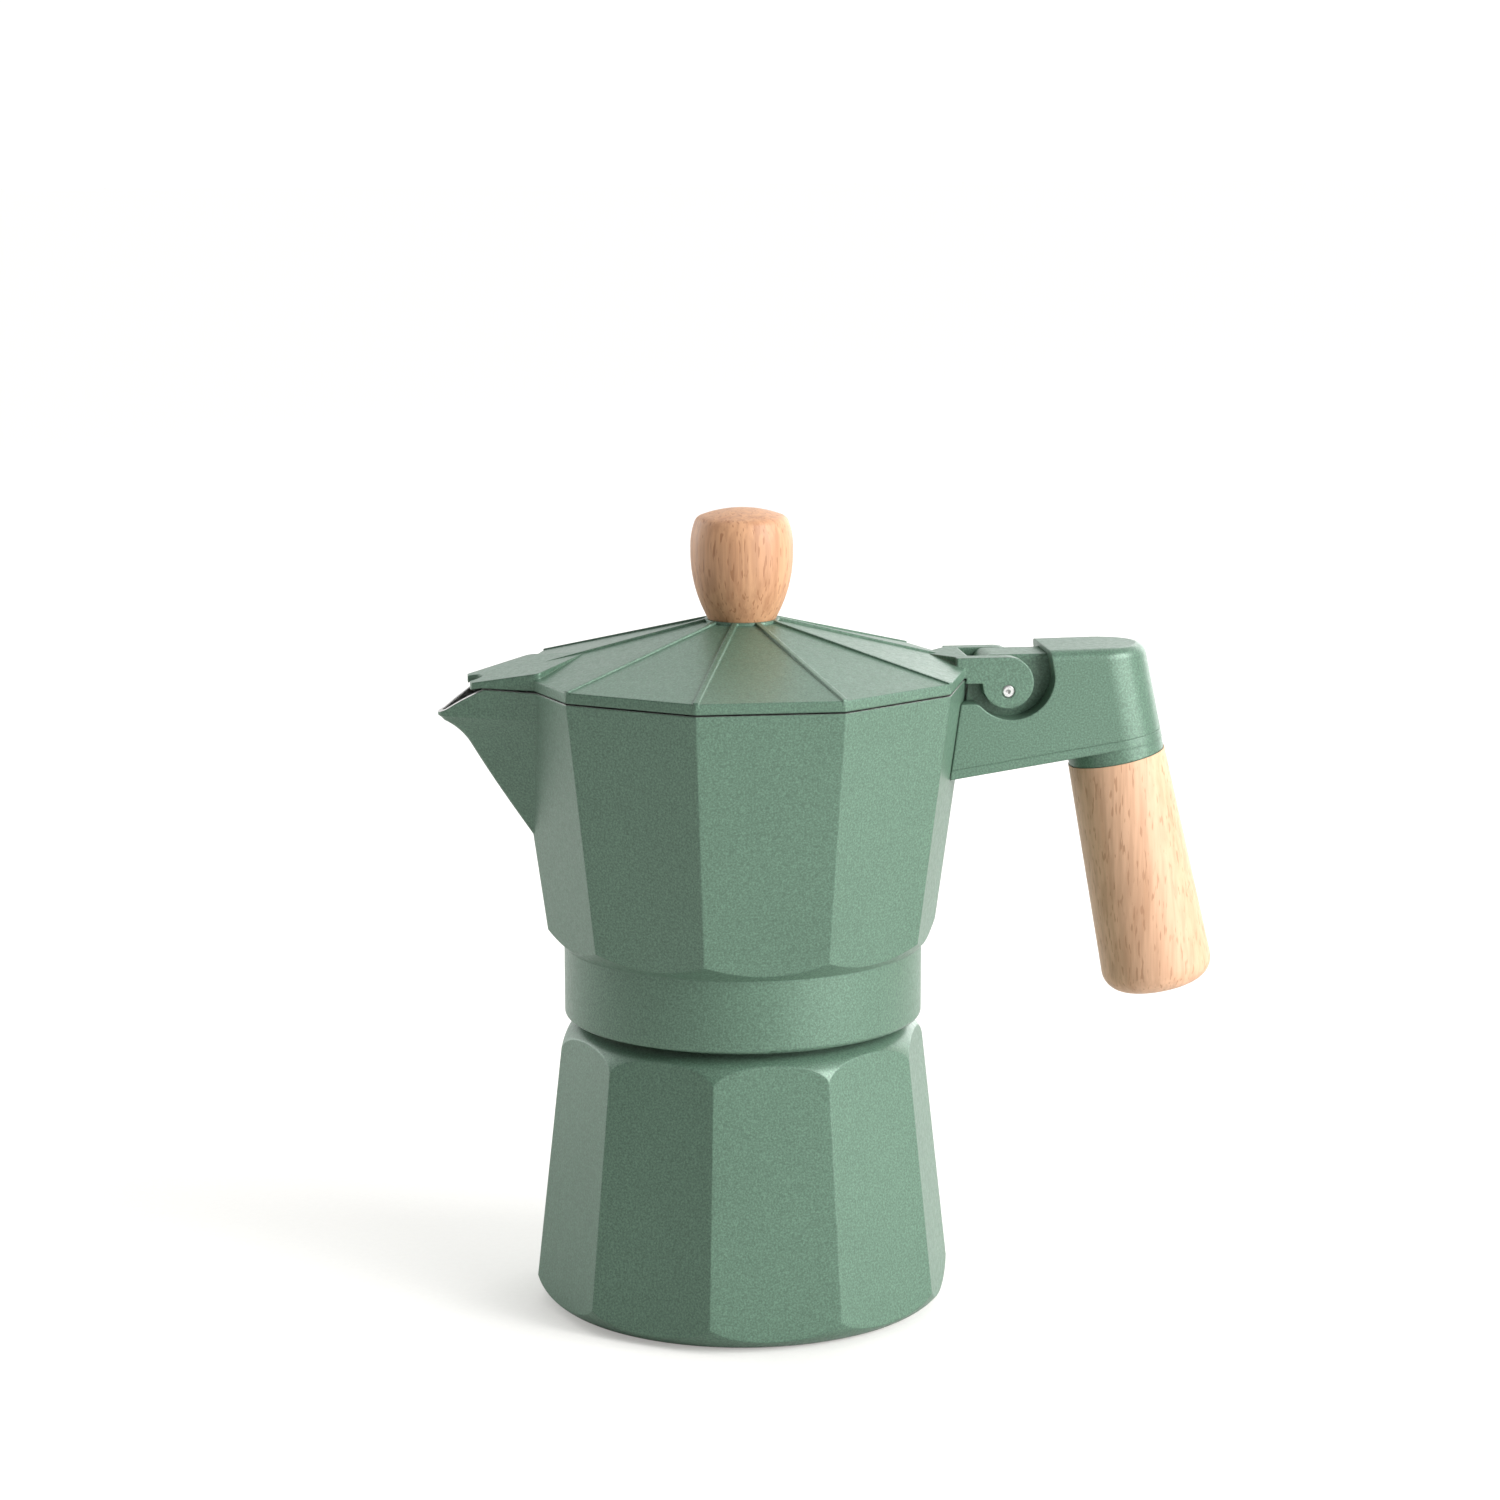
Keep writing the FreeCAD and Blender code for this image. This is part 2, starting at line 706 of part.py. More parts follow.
def make_chamber():
    casting = new_body("chamber_casting")
    loft(casting, "AdditiveLoft", [(collar_top - 1.5, chamber_corner(collar_top - 1.5)),
                                   (rim, s["chamber_rim_radius"])])
    collar = s["collar_radius"]
    over = 14.0
    turn(casting, "Groove", [(collar, collar_top - 2.0), (collar + over, collar_top - 2.0),
                             (collar + over, collar_top + over), (collar, collar_top)])
    lug_points = [
        (chamber_corner(rim) - s["chamber_wall"] * 0.5, rim),
        (s["chamber_rim_radius"] + 1.3, rim),
        (s["chamber_rim_radius"] + 1.3, hinge_top - 2.2),
        (s["chamber_rim_radius"] + 3.5, hinge_top),
        (s["chamber_rim_radius"] + s["lug_length"], hinge_top),
        (s["chamber_rim_radius"] + s["lug_length"], rim - 12.5),
        (chamber_corner(rim - 16.5) - s["chamber_wall"] * 0.5, rim - 16.5),
    ]
    prism(casting, "Pad", "XZ_Plane", lug_points, s["lug_half_width"] * 2,
          arcs={2: -2.2}, symmetric=True)

    # The floor, the collar and the column are one turned section.
    floor_under = seat + 2.6
    crest = bore_radius
    column, bore = s["column_radius"], s["column_bore"]
    column_top = chamber_floor + s["column_height"]
    pocket = s["neck_radius"] - 0.1
    turn(casting, "Revolution", [
        (crest, collar_foot), (collar - 0.8, collar_foot), (collar, collar_foot + 0.8),
        (collar, collar_top - 0.5), (collar - 1.0, chamber_floor),
        (column + 3.0, chamber_floor), (column + 1.4, chamber_floor + 3.0), (column, column_top - 4.0),
        (column - 3.5, column_top), (0.0, column_top),
        (0.0, column_top - 4.0), (bore, column_top - 5.0), (bore, floor_under),
        (s["plate_radius"] - 2.0, floor_under), (s["plate_radius"] - 1.0, seat),
        (pocket, seat), (pocket, flange_top + 1.2), (crest, flange_top + 1.2),
    ], {1: 0.8, 7: 4.2})
    thread(casting, "AdditiveHelix", bore_radius, collar_foot + 1.0, flange_top - 1.9,
           -s["thread_depth"])

    spout = spout_solid("spout_outside", 0.0, s["spout_root"].value - 5.0, 1.0)

    hollow = new_body("chamber_hollow")
    inner_low = chamber_corner(chamber_floor) - s["chamber_wall"] / FLAT
    inner_high = chamber_corner(rim + 6.0) - s["chamber_wall"] / FLAT
    loft(hollow, "AdditiveLoft", [(chamber_floor, inner_low), (rim + 6.0, inner_high)])
    turn(hollow, "Groove", [
        (0.0, chamber_floor - 1.0), (column + 3.0, chamber_floor - 1.0), (column + 3.0, chamber_floor),
        (column + 1.4, chamber_floor + 3.0), (column, column_top - 4.0),
        (column - 3.5, column_top), (0.0, column_top),
    ], {4: 4.2})

    mouth = spout_solid("spout_inside", s["spout_wall"].value * 1.9, s["spout_root"].value - 9.0, 0.55)

    above = new_body("rim_trim")
    reach = s["spout_reach"] - s["keel_round"] * 0.92        # the rounded keel stops short of its edge
    prism(above, "Pad", "XZ_Plane", [
        (-30.0, rim), (-s["lip_start"], rim), (-reach + 2.2, rim - s["lip_drop"] + 1.2),
        (-reach - 2.0, rim - s["lip_drop"] - 0.6), (-reach - 2.0, rim + 8.0), (-30.0, rim + 8.0),
    ], 60.0, symmetric=True, arcs={1: 60.0})

    ports = new_body("column_ports")
    circle = circles(new_sketch(ports, "XZ_Plane"), [(0.0, column_top - 8.0)], s["column_port"])
    bar = feature(ports, "Pad", circle)
    bar.SideType = "Symmetric"
    bar.Length = 20.0
    ports.Tip = bar
    doc.recompute()

    pin_bore = new_body("lug_pin_bore")
    circle = circles(new_sketch(pin_bore, "XZ_Plane"), [(pin_x, pin_z)], s["pin_radius"])
    bar = feature(pin_bore, "Pad", circle)
    bar.SideType = "Symmetric"
    bar.Length = 20.0
    pin_bore.Tip = bar
    doc.recompute()

    screw_bore = doc.addObject("Part::Cylinder", "lug_screw_bore")
    bind(screw_bore, "Radius", 1.75)
    bind(screw_bore, "Height", 12.0)
    place(screw_bore, bracket_screw_x(), 0.0, rim - 20.0)

    solid = combine("MultiFuse", "chamber_solid", [casting, spout])
    tools = combine("MultiFuse", "chamber_tools", [hollow, mouth, above, ports, pin_bore, screw_bore])
    return combine("Cut", "upper_chamber", [solid, tools])


# ---------------------------------------------------------------- lid

def make_lid():
    body = new_body("lid_crown")
    corner = s["chamber_rim_radius"]
    prism(body, "Pad", "XY_Plane", polygon_points(corner), s["skirt_height"], lid_foot)
    loft(body, "AdditiveLoft", [(skirt_top, corner), (crown_top, s["crown_radius"])])
    turn(body, "Revolution", [(0.0, crown_top - 1.5), (s["seat_radius"], crown_top - 1.5),
                              (s["seat_radius"], knob_foot), (0.0, knob_foot)])

    slope = s["crown_rise"] / (corner - s["crown_radius"])
    rib_start, rib_end = s["seat_radius"] + 0.2, corner - 0.1
    rib_rise = slope * (s["crown_radius"] - rib_start)
    low = skirt_top + slope * 0.1
    rib = prism(body, "Pad", "XZ_Plane", [
        (s["seat_radius"] - 0.1, crown_top - 1.0), (rib_end, skirt_top - 0.8),
        (rib_end, low + s["rib_height"] * 0.6), (rib_start, crown_top + s["rib_height"] + rib_rise),
        (s["seat_radius"] - 0.1, crown_top + s["rib_height"] + rib_rise),
    ], s["rib_width"], symmetric=True)
    ribs = body.newObject("PartDesign::PolarPattern", "ribs")
    ribs.Originals = [rib]
    ribs.Axis = (plane(body, "Z_Axis"), [""])
    ribs.Angle = 360.0
    ribs.Occurrences = SIZES["facets"]
    body.Tip = ribs
    doc.recompute()

    wall = s["lid_wall"]
    loft(body, "SubtractiveLoft", [(lid_foot - 0.5, corner - wall / FLAT - 1.0),
                                   (skirt_top - 0.3, corner - wall / FLAT - 1.0)])
    loft(body, "SubtractiveLoft", [(skirt_top - 0.3, corner - wall / FLAT - 1.0),
                                   (crown_top - wall, s["crown_radius"] - 0.4)])

    beak_plan = new_body("beak_plan")
    half = s["beak_half_width"]
    tip = s["beak_tip_half_width"]
    prism(beak_plan, "Pad", "XY_Plane", [
        (-s["beak_root"], 0.0), (-s["beak_corner"] + 0.8, half - 0.9), (-s["beak_corner"] - 1.0, half - 0.6),
        (-s["beak_reach"] + 1.0, tip), (-s["beak_reach"], tip - 1.0),
        (-s["beak_reach"], 1.0 - tip), (-s["beak_reach"] + 1.0, -tip),
        (-s["beak_corner"] - 1.0, 0.6 - half), (-s["beak_corner"] + 0.8, 0.9 - half),
    ], 12.0, lid_foot - 3.0, {1: 1.5, 3: 1.4, 5: 1.4, 7: 1.5})
    beak_side = new_body("beak_side")
    prism(beak_side, "Pad", "XZ_Plane", [
        (-s["beak_root"], lid_foot + s["beak_rise"]), (-s["beak_root"], lid_foot + 2.0),
        (-s["beak_corner"] + 4.0, lid_foot), (-s["lip_start"] - 0.6, lid_foot),
        (-s["beak_reach"], lid_foot - 0.5),
        (-s["beak_reach"], lid_foot + s["beak_rise"] - s["beak_drop"]),
    ], half * 2 + 4.0, symmetric=True)
    beak = combine("MultiCommon", "beak", [beak_plan, beak_side])

    platform = new_body("platform")
    prism(platform, "Pad", "XY_Plane", [
        (s["platform_root"], 0.0), (pin_x - s["ear_radius"] - 3.9, -ear_outer),
        (pin_x, -ear_outer), (pin_x, ear_outer),
        (pin_x - s["ear_radius"] - 3.9, ear_outer),
    ], hinge_top - skirt_top + 0.6, skirt_top - 0.6)
    ears = new_body("ears")
    ear = s["ear_radius"]
    ear_z = hinge_top - ear
    arm = s["chamber_rim_radius"] - 1.2
    prism(ears, "Pad", "XZ_Plane", [
        (arm - 3.2, hinge_top), (arm - 3.2, ear_z), (pin_x - ear, ear_z), (pin_x, ear_z - ear),
        (pin_x + ear, ear_z), (pin_x, hinge_top),
    ], ear_outer * 2, symmetric=True, arcs={2: ear, 3: ear, 4: ear})
    envelope = new_body("lid_envelope")
    loft(envelope, "AdditiveLoft", [
        (lid_foot - 20.0, chamber_corner(lid_foot - 20.0) + s["lid_gap"]),
        (lid_foot, chamber_corner(lid_foot) + s["lid_gap"]),
    ])

    below = new_body("ear_trim")
    prism(below, "Pad", "XY_Plane", [
        (arm, -20.0), (pin_x + 20.0, -20.0), (pin_x + 20.0, 20.0), (arm, 20.0),
    ], ear_z - lid_foot + 40.0, lid_foot - 40.0)
    slab = combine("Cut", "platform_block", [platform, below])

    slot = new_body("hinge_slot")
    prism(slot, "Pad", "XY_Plane", [
        (pin_x - 7.97, -ear_inner), (pin_x + 12.0, -ear_inner),
        (pin_x + 12.0, ear_inner), (pin_x - 7.97, ear_inner),
    ], 30.0, rim - 15.0)

    bores = new_body("ear_pin_bore")
    circle = circles(new_sketch(bores, "XZ_Plane"), [(pin_x, pin_z)], s["pin_radius"] + s["pin_clearance"])
    bar = feature(bores, "Pad", circle)
    bar.SideType = "Symmetric"
    bar.Length = 30.0
    bores.Tip = bar
    doc.recompute()

    notch = doc.addObject("Part::Cylinder", "beak_notch")
    bind(notch, "Radius", s["notch_radius"])
    bind(notch, "Height", 20.0)
    place(notch, -s["beak_reach"] - 0.6, 0.0, lid_foot - 5.0)

    screw_bore = doc.addObject("Part::Cylinder", "lid_screw_bore")
    bind(screw_bore, "Radius", s["knob_screw_radius"] + 0.1)
    bind(screw_bore, "Height", 10.0)
    place(screw_bore, 0.0, 0.0, crown_top - 6.0)

    solid = combine("MultiFuse", "lid_solid", [body, beak, slab, ears])
    tools = combine("MultiFuse", "lid_tools", [slot, bores, notch, screw_bore, envelope])
    return combine("Cut", "lid", [solid, tools])


# ---------------------------------------------------------------- knob and its fixing

def make_knob():
    knob = new_body("lid_knob")
    base, widest = s["knob_base_radius"], s["knob_radius"]
    waist = knob_foot + s["knob_height"] * 0.6
    bulge = waist + s["knob_height"] * 0.06
    top = knob_foot + s["knob_height"]
    shoulder = top - s["knob_crown_rise"]
    turn_in = shoulder - 1.2
    crown, side = s["knob_crown_radius"], s["knob_side_radius"]
    hole = s["insert_radius"]
    hole_top = knob_foot + s["knob_screw_length"]
    turn(knob, "Revolution", [
        (hole, knob_foot), (base, knob_foot), (widest, waist), (widest, bulge), (side, turn_in),
        (crown, shoulder), (0.0, top), (0.0, hole_top), (hole, hole_top),
    ], {
        1: tangent_radius(widest - base, waist - knob_foot),
        3: tangent_radius(widest - side, turn_in - bulge),
        4: 2.0,
        5: tangent_radius(s["knob_crown_rise"], crown),
    })

    insert = new_body("knob_insert")
    depth = s["knob_screw_length"]
    turn(insert, "Revolution", [
        (s["knob_screw_radius"], knob_foot), (hole, knob_foot), (hole, knob_foot + depth),
        (s["knob_screw_radius"], knob_foot + depth),
    ])

    under = crown_top - s["lid_wall"]
    washer = new_body("knob_washer")
    turn(washer, "Revolution", [
        (s["knob_screw_radius"] + 0.1, under - 0.8), (5.0, under - 0.8), (5.0, under),
        (s["knob_screw_radius"] + 0.1, under),
    ])

    screw = new_body("knob_screw")
    shank = s["knob_screw_radius"]
    turn(screw, "Revolution", [
        (0.0, under - 3.0), (2.4, under - 3.0), (3.8, under - 1.8), (3.8, under - 0.8),
        (shank, under - 0.8), (shank, knob_foot + depth - 1.0), (0.0, knob_foot + depth - 1.0),
    ], {1: 1.8})
    for across, along in ((3.4, 0.8), (0.8, 3.4)):
        prism(screw, "Pocket", "XY_Plane", [
            (-across / 2, -along / 2), (across / 2, -along / 2),
            (across / 2, along / 2), (-across / 2, along / 2),
        ], 1.4, under - 3.1, back=True)
    return [knob, insert, washer, screw]


def make_pin():
    pin = new_body("hinge_pin")
    radius = s["pin_radius"]
    long = ear_outer * 2 + 0.5
    half = long / 2
    turn(pin, "Revolution", [
        (0.0, -half + 0.5), (0.5, -half), (radius - 0.3, -half), (radius, -half + 0.3),
        (radius, half - 0.3), (radius - 0.3, half), (0.5, half), (0.0, half - 0.5),
    ])
    place(pin, pin_x, 0.0, pin_z, (1, 0, 0), 90.0)
    return pin


# ---------------------------------------------------------------- handle bracket

def bracket_screw_x():
    return s["chamber_rim_radius"] + 12.0


def lug_underside(across):
    """Height of the lug's lower face, which rises a little towards its end."""
    rise = Size.of(4.0) / (s["lug_length"] + s["chamber_wall"])
    return rim - 16.5 + (across - s["chamber_rim_radius"] + s["chamber_wall"]) * rise


def bracket_floor(across, lift=0.0):
    """Height of the bracket's sloping lower face at a distance from the axis."""
    slope = math.tan(math.radians(SIZES["bracket_slope"]))
    return rim - s["bracket_drop"] + (across - s["chamber_rim_radius"]) * slope + 0.9 + lift


def stadium(label, front, low, high):
    """The bracket's plan, square at the front and round at the grip, run along the grip's axis."""
    body = new_body(label)
    half = s["bracket_half_width"]
    prism(body, "Pad", "XY_Plane", [
        (-front, -half), (0.0, -half), (half, 0.0), (0.0, half), (-front, half),
    ], high - low, low, arcs={1: half, 2: half})
    place_on_grip(body)
    return body


def make_bracket():
    corner = s["chamber_rim_radius"]
    nose = corner + s["bracket_nose"]
    top = rim + s["bracket_top"]
    ledge = rim - s["bracket_ledge"]
    half = s["bracket_half_width"]
    recess = s["recess_radius"]
    recess_x, recess_z = pin_x + 0.7, pin_z + 3.05
    recess_left = recess_x - root_of(recess * recess - (recess_z - ledge) * (recess_z - ledge))
    back = grip_x + 40.0
    start = corner - 14.0
    seam = s["cover_thickness"]

    side = new_body("bracket_side")
    prism(side, "Pad", "XZ_Plane", [
        (start, bracket_floor(start, seam)), (back, bracket_floor(back, seam)), (back, top + 1.0),
        (grip_x, top + 0.2), (nose, top), (recess_x + recess, recess_z), (recess_left, ledge),
        (start, ledge),
    ], half * 2 + 4.0, symmetric=True, arcs={5: -recess})
    plan = stadium("bracket_plan", 60.0, -30.0, 45.0)
    block = combine("MultiCommon", "bracket_block", [side, plan])

    def upper(edge):
        box = edge.BoundBox
        on_top = box.ZMin > top.value - 0.5
        return on_top and box.YLength > 0.5 and box.XLength > 1.0 or on_top and box.YLength < 0.1

    def ledge_edge(edge):
        box = edge.BoundBox
        across = box.YLength > half.value * 1.9 and box.XLength < 0.1
        return across and abs(box.ZMax - ledge.value) < 0.1 and abs(box.XMax - recess_left.value) < 0.1

    softened = round_edges(block, "bracket_softened", edges_where(block, upper), s["bracket_round"])
    softened = round_edges(softened, "bracket_eased", edges_where(softened, ledge_edge), s["ledge_round"])

    gap = s["fit_gap"]
    end = corner + s["lug_length"] + gap
    slot = new_body("bracket_slot")
    prism(slot, "Pad", "XZ_Plane", [
        (start - 5.0, ledge - 30.0), (end, ledge - 30.0), (end, hinge_top + gap),
        (start - 5.0, hinge_top + gap),
    ], s["lug_half_width"] * 2 + gap * 2, symmetric=True)
    wall = new_body("bracket_envelope")
    loft(wall, "AdditiveLoft", [
        (rim - 40.0, chamber_corner(rim - 40.0) + gap), (rim + 10.0, chamber_corner(rim + 10.0) + gap),
    ])
    sunk = new_body("bracket_insert_seat")
    deep = s["neck_height"] + 3.0 + s["insert_length"]
    turn(sunk, "Revolution", [(0.0, 0.0), (s["insert_radius"], 0.0), (s["insert_radius"], deep),
                              (0.0, deep)])
    place_on_grip(sunk)
    tools = combine("MultiFuse", "bracket_tools", [slot, wall, sunk])
    return combine("Cut", "handle_bracket", [softened, tools])


def make_cover():
    corner = s["chamber_rim_radius"]
    half = s["bracket_half_width"]
    start, back = corner - 14.0, grip_x + 40.0
    seam = s["cover_thickness"]
    side = new_body("cover_side")
    prism(side, "Pad", "XZ_Plane", [
        (start, bracket_floor(start)), (back, bracket_floor(back)), (back, bracket_floor(back, seam)),
        (start, bracket_floor(start, seam)),
    ], half * 2 + 4.0, symmetric=True)
    plan = stadium("cover_plan", 60.0, -20.0, 30.0)
    plate = combine("MultiCommon", "cover_plate", [side, plan])
    neck = new_body("cover_neck")
    turn(neck, "Revolution", [
        (0.0, 0.0), (s["grip_top_radius"] - 0.2, 0.0), (s["grip_top_radius"] - 0.2, s["neck_height"]),
        (0.0, s["neck_height"]),
    ])
    place_on_grip(neck)
    gap = s["fit_gap"]
    wall = new_body("cover_envelope")
    loft(wall, "AdditiveLoft", [
        (rim - 40.0, chamber_corner(rim - 40.0) + gap), (rim, chamber_corner(rim) + gap),
    ])
    stud_hole = new_body("cover_stud_hole")
    turn(stud_hole, "Revolution", [
        (0.0, -1.0), (s["stud_radius"] + gap, -1.0), (s["stud_radius"] + gap, 12.0), (0.0, 12.0),
    ])
    place_on_grip(stud_hole)
    screw_x = bracket_screw_x()
    head_seat = bracket_floor(screw_x) + s["cover_thickness"]
    boss = new_body("cover_boss")
    boss_radius = s["lug_half_width"] - 0.4
    boss_foot, boss_top = bracket_floor(screw_x) + 1.0, lug_underside(screw_x) - 0.8
    turn(boss, "Revolution", [(0.0, boss_foot), (boss_radius, boss_foot),
                              (boss_radius, boss_top), (0.0, boss_top)])
    place(boss, screw_x)
    screw_hole = new_body("cover_screw_hole")
    turn(screw_hole, "Revolution", [
        (0.0, head_seat - 8.0), (3.4, head_seat - 8.0), (3.4, head_seat), (1.7 + gap, head_seat),
        (1.7 + gap, head_seat + 12.0), (0.0, head_seat + 12.0),
    ])
    place(screw_hole, screw_x)
    solid = combine("MultiFuse", "cover_solid", [plate, boss, neck])
    tools = combine("MultiFuse", "cover_tools", [wall, stud_hole, screw_hole])
    return combine("Cut", "bracket_cover", [solid, tools])


def make_bracket_fixings():
    seat_height = bracket_floor(bracket_screw_x()) + s["cover_thickness"]
    screw = new_body("bracket_screw")
    turn(screw, "Revolution", [
        (0.0, seat_height - 1.5), (2.4, seat_height - 1.5), (3.1, seat_height - 0.9),
        (3.1, seat_height), (1.7, seat_height), (1.7, rim - 9.5), (0.0, rim - 9.5),
    ])
    prism(screw, "Pocket", "XY_Plane", polygon_points(1.45, 0, 6), 0.9, seat_height - 1.6, back=True)
    place(screw, bracket_screw_x())

    insert = new_body("bracket_insert")
    low = s["neck_height"] + 3.0
    turn(insert, "Revolution", [
        (s["stud_radius"], low), (s["insert_radius"], low),
        (s["insert_radius"], low + s["insert_length"]), (s["stud_radius"], low + s["insert_length"]),
    ])
    place_on_grip(insert)
    return [screw, insert]


# ---------------------------------------------------------------- grip

def make_grip():
    grip = new_body("handle_grip")
    top, wide = s["grip_top_radius"], s["grip_radius"]
    length = s["grip_length"]
    end = s["grip_end_round"]
    hole = s["insert_radius"]
    hole_depth = s["stud_length"] - 8.0
    turn(grip, "Revolution", [
        (hole, 0.0), (hole, -hole_depth), (0.0, -hole_depth), (0.0, -length - 0.8),
        (wide - end, -length), (wide, -length + end), (wide - 0.2, -length + end + 6.0),
        (top, 0.0),
    ], {3: 55.0, 4: end})
    place_on_grip(grip)

    insert = new_body("grip_insert")
    turn(insert, "Revolution", [
        (s["stud_radius"], -hole_depth), (hole, -hole_depth), (hole, 0.0), (s["stud_radius"], 0.0),
    ])
    place_on_grip(insert)

    stud = new_body("grip_stud")
    radius = s["stud_radius"]
    low = -hole_depth + 1.0
    high = s["neck_height"] + 3.0 + s["insert_length"] - 0.5
    turn(stud, "Revolution", [
        (0.0, low), (radius - 0.5, low), (radius, low + 0.5), (radius, high - 0.5),
        (radius - 0.5, high), (0.0, high),
    ])
    place_on_grip(stud)
    return [grip, insert, stud]


# ---------------------------------------------------------------- build, check and write

def check(item):
    """Stop if any object failed or a sub-part's shape is not one good solid."""
    shape = item.Shape
    if shape.isNull() or not shape.isValid() or len(shape.Solids) != 1:
        raise RuntimeError(f"{item.Label}: solids {len(shape.Solids)}, valid {shape.isValid()}")


def main():
    nodes = [make_boiler()]
    nodes += make_valve()
    nodes += make_funnel()
    nodes += make_seal()
    nodes.append(make_chamber())
    nodes.append(make_lid())
    nodes += make_knob()
    nodes.append(make_pin())
    nodes.append(make_bracket())
    nodes.append(make_cover())
    nodes += make_bracket_fixings()
    nodes += make_grip()
    doc.recompute()
    for item in doc.Objects:
        if "Invalid" in item.State or "Error" in item.State:
            raise RuntimeError(f"{item.Label} failed: {item.State}")
    os.makedirs("parts", exist_ok=True)
    for item in nodes:
        check(item)
    for item in nodes:
        item.Shape.exportStep(f"parts/{item.Label}.step")
        box = item.Shape.BoundBox
        print(f"{item.Label:16s} volume {item.Shape.Volume / 1000.0:8.3f} cm3   "
              f"x {box.XMin:7.2f} {box.XMax:7.2f}  z {box.ZMin:7.2f} {box.ZMax:7.2f}")


main()
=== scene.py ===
import math

import bpy
from mathutils import Euler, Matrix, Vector

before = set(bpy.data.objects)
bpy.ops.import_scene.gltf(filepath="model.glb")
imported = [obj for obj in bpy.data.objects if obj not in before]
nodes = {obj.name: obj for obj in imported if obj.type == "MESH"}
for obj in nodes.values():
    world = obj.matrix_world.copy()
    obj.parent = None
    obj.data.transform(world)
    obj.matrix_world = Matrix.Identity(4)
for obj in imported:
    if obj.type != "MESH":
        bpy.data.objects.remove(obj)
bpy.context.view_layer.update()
scene = bpy.context.scene

# Places on the castings, in metres.
SHOULDER = 0.059                # top of the boiler's shoulder, where its neck starts
CHAMBER_FLOOR = 0.0765          # just under the floor inside the chamber
RIM = 0.1296                    # the chamber's rim
FOOT_BAND = 0.0012              # height of the flat underside's band
BOILER_FLOOR_BAND = 0.02
BOILER_INNER_RADIUS = 0.036
COLUMN_REACH = 0.02             # radius that holds the column and its foot
COLLAR_BORE = 0.0335
LUG_START = 0.0475              # along X, where the hinge lug leaves the wall
EAR_START = 0.046               # along X, where the lid's ears begin
SKIRT_DEPTH = 0.0025            # of the lid's skirt, over the rim

FLOOR_GLOW = 0.31

# Colours, linear.
PAINT = (0.098, 0.178, 0.125, 1)
GRIP_TILT = 11.6                # degrees that the grip leans from upright


# ---------------------------------------------------------------- shader helpers

class Nodes:
    """A small writer for one material's node tree."""

    def __init__(self, name):
        self.material = bpy.data.materials.new(name)
        self.material.use_nodes = True
        self.tree = self.material.node_tree
        self.shader = self.tree.nodes["Principled BSDF"]

    def add(self, kind, **settings):
        node = self.tree.nodes.new("ShaderNode" + kind)
        for key, value in settings.items():
            if key in node.inputs:
                node.inputs[key].default_value = value
            else:
                setattr(node, key, value)
        return node

    def link(self, source, target):
        self.tree.links.new(source, target)
        return target.node

    def set(self, **values):
        for key, value in values.items():
            self.shader.inputs[key.replace("_", " ")].default_value = value

    def coords(self, scale=(1, 1, 1), turn=(0, 0, 0), shift=(0, 0, 0)):
        place = self.add("Mapping")
        place.inputs["Scale"].default_value = scale
        place.inputs["Rotation"].default_value = [math.radians(a) for a in turn]
        place.inputs["Location"].default_value = shift
        self.link(self.add("TexCoord").outputs["Object"], place.inputs["Vector"])
        return place.outputs["Vector"]

    def noise(self, where, scale, detail=2.0, rough=0.5, distort=0.0):
        node = self.add("TexNoise")
        node.inputs["Scale"].default_value = scale
        node.inputs["Detail"].default_value = detail
        node.inputs["Roughness"].default_value = rough
        node.inputs["Distortion"].default_value = distort
        self.link(where, node.inputs["Vector"])
        return node.outputs["Fac"]

    def ramp(self, value, stops):
        node = self.add("ValToRGB")
        band = node.color_ramp
        while len(band.elements) < len(stops):
            band.elements.new(0.5)
        for element, (place, colour) in zip(band.elements, stops):
            element.position = place
            element.color = colour if len(colour) == 4 else (*colour, 1)
        self.link(value, node.inputs["Fac"])
        return node.outputs["Color"]

    def calc(self, operation, *values):
        node = self.add("Math", operation=operation)
        for value, target in zip(values, node.inputs):
            if isinstance(value, bpy.types.NodeSocket):
                self.link(value, target)
            else:
                target.default_value = value
        return node.outputs["Value"]

    def axes(self, vector):
        node = self.add("SeparateXYZ")
        self.link(vector, node.inputs["Vector"])
        return node.outputs

    def mix(self, share, a, b, blend="MIX"):
        node = self.add("Mix", data_type="RGBA", blend_type=blend)
        for value, index in ((share, 0), (a, 6), (b, 7)):
            if isinstance(value, bpy.types.NodeSocket):
                self.link(value, node.inputs[index])
            else:
                node.inputs[index].default_value = value
        return node.outputs[2]

    def bump(self, height, strength, distance, after=None):
        node = self.add("Bump")
        node.inputs["Strength"].default_value = strength
        node.inputs["Distance"].default_value = distance
        self.link(height, node.inputs["Height"])
        if after is not None:
            self.link(after, node.inputs["Normal"])
        return node.outputs["Normal"]

    def finish(self, normal=None, colour=None, rough=None, metallic=None):
        for value, key in ((normal, "Normal"), (colour, "Base Color"), (rough, "Roughness"),
                           (metallic, "Metallic")):
            if value is not None:
                self.link(value, self.shader.inputs[key])
        return self.material


def grey(level):
    return (level, level, level, 1)


def shade(colour, factor):
    return tuple(c * factor for c in colour[:3]) + (1,)


# ---------------------------------------------------------------- materials

